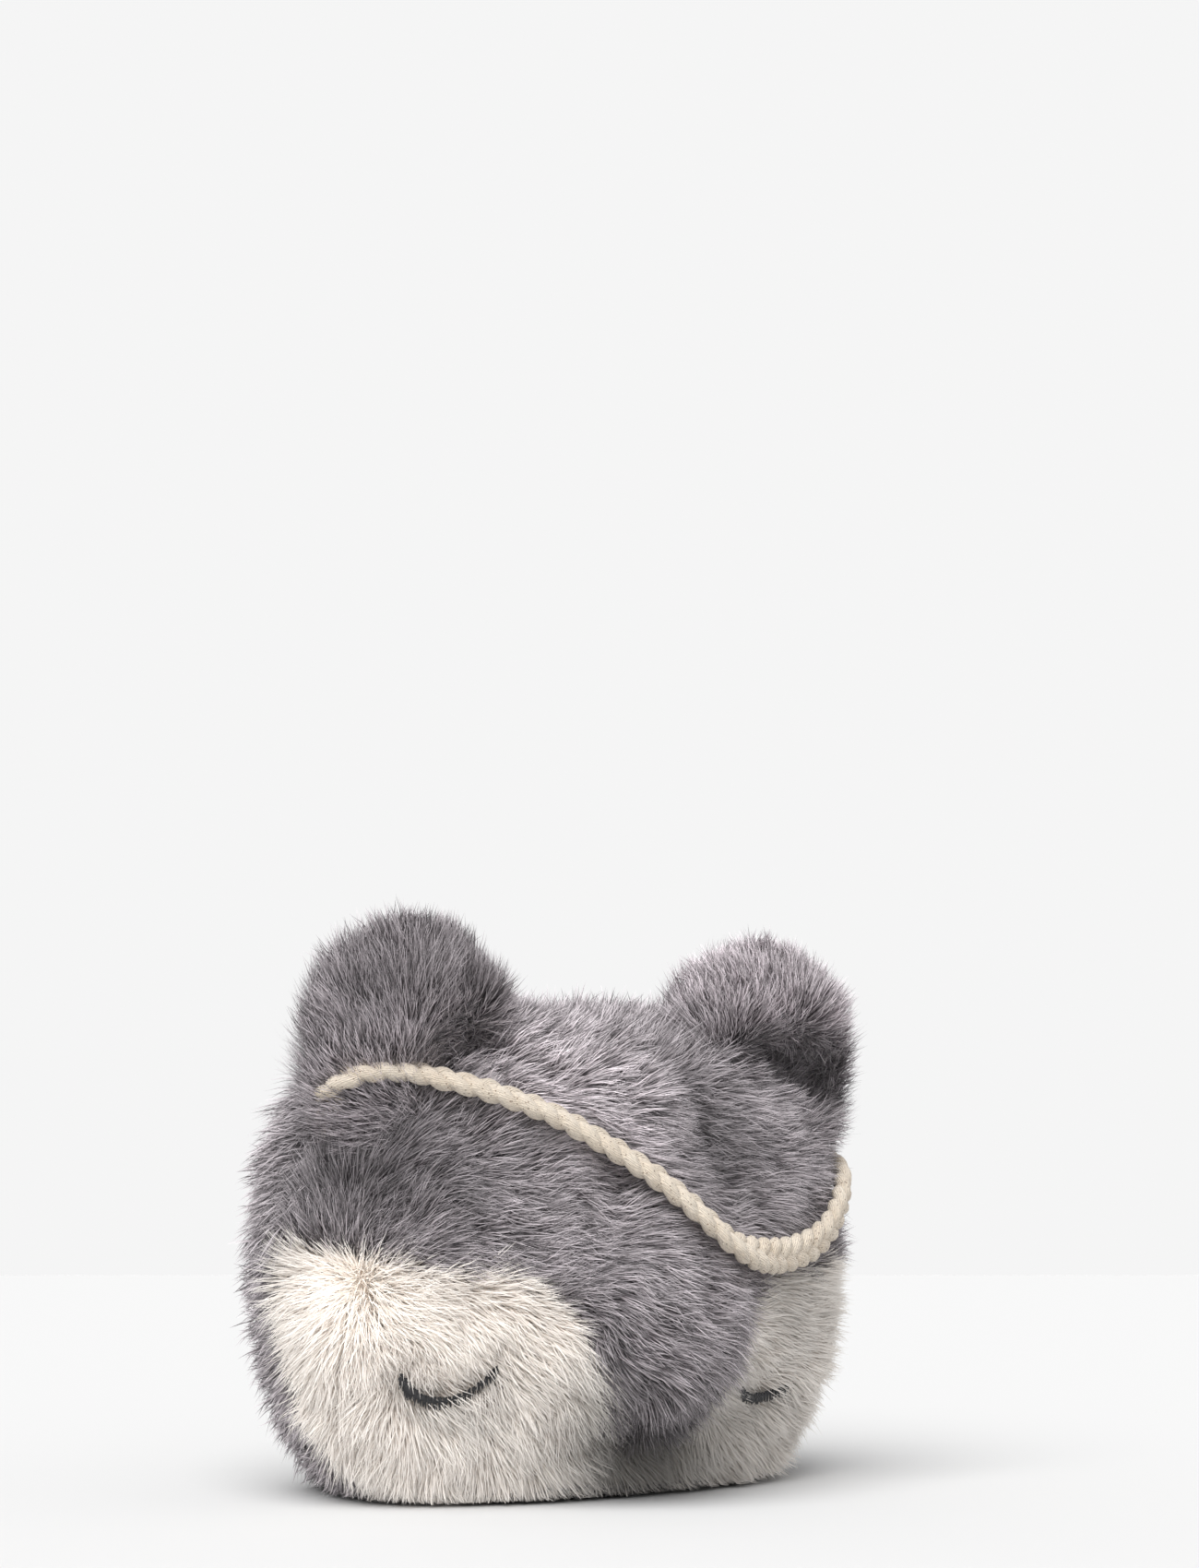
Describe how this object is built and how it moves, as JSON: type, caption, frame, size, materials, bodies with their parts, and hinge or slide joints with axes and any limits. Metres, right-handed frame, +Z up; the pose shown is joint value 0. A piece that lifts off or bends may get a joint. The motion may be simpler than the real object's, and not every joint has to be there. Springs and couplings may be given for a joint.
{
  "type": "plush animal-head bag",
  "caption": "Plush wolf-cub head bag with stitched closed eyes, stuffed ears, a zipped pouch at the back and a plaited cotton strap laid over the forehead.",
  "frame": {"origin": "middle of the head's footprint, on the ground it stands on", "axes": "+X to the right as seen by someone facing the animal's face, +Y from the face to the back with the zip, +Z up to the ears"},
  "size_m": [0.2073, 0.1322, 0.1815],
  "materials": {
    "grey_plush": "long faux-fur pile, mottled grey with pale tips",
    "cream_plush": "long faux-fur pile, warm off-white",
    "dark_grey_plush": "short faux-fur pile, dark grey",
    "polyester_filling": "loose polyester wadding",
    "lining_cloth": "plain woven polyester",
    "zip_tape_cloth": "woven tape",
    "zip_teeth_plastic": "moulded, satin",
    "aged_brass": "satin, slightly aged",
    "dark_thread": "blue-black embroidery thread",
    "natural_cotton": "undyed plaited cotton with dark flecks"
  },
  "bodies": {
    "head": {"back_lower_panel": "grey_plush", "back_upper_panel": "grey_plush", "base_panel": "dark_grey_plush", "chin_panel": "cream_plush", "crown_panel": "grey_plush", "face_wadding": "polyester_filling", "forehead_panel": "grey_plush", "left_cheek_patch": "cream_plush", "left_ear_back": "grey_plush", "left_ear_inner": "dark_grey_plush", "left_ear_wadding": "polyester_filling", "left_eye_lashes": "dark_thread", "left_side_panel": "grey_plush", "pouch_lining_left": "lining_cloth", "pouch_lining_middle": "lining_cloth", "pouch_lining_right": "lining_cloth", "right_cheek_patch": "cream_plush", "right_ear_back": "grey_plush", "right_ear_inner": "dark_grey_plush", "right_ear_wadding": "polyester_filling", "right_eye_lashes": "dark_thread", "right_side_panel": "grey_plush", "strap_anchor_left": "natural_cotton", "strap_anchor_right": "natural_cotton", "strap_braid": "natural_cotton", "zip_stop_left": "aged_brass", "zip_stop_right": "aged_brass", "zip_tape_lower": "zip_tape_cloth", "zip_tape_upper": "zip_tape_cloth", "zip_teeth_lower": "zip_teeth_plastic", "zip_teeth_upper": "zip_teeth_plastic"},
    "zip_slider": {"zip_slider": "aged_brass"},
    "zip_pull": {"zip_pull": "aged_brass"}
  },
  "joints": [
    {"name": "zip_slide", "type": "slide", "parent": "head", "child": "zip_slider", "axis": [-1, 0, 0], "range_m": [0, 0.088]},
    {"name": "pull_hinge", "type": "hinge", "parent": "zip_slider", "child": "zip_pull", "pos_m": [0.044, 0.06054, 0.111], "axis": [0, 0, -1], "range_deg": [0, 170]}
  ]
}
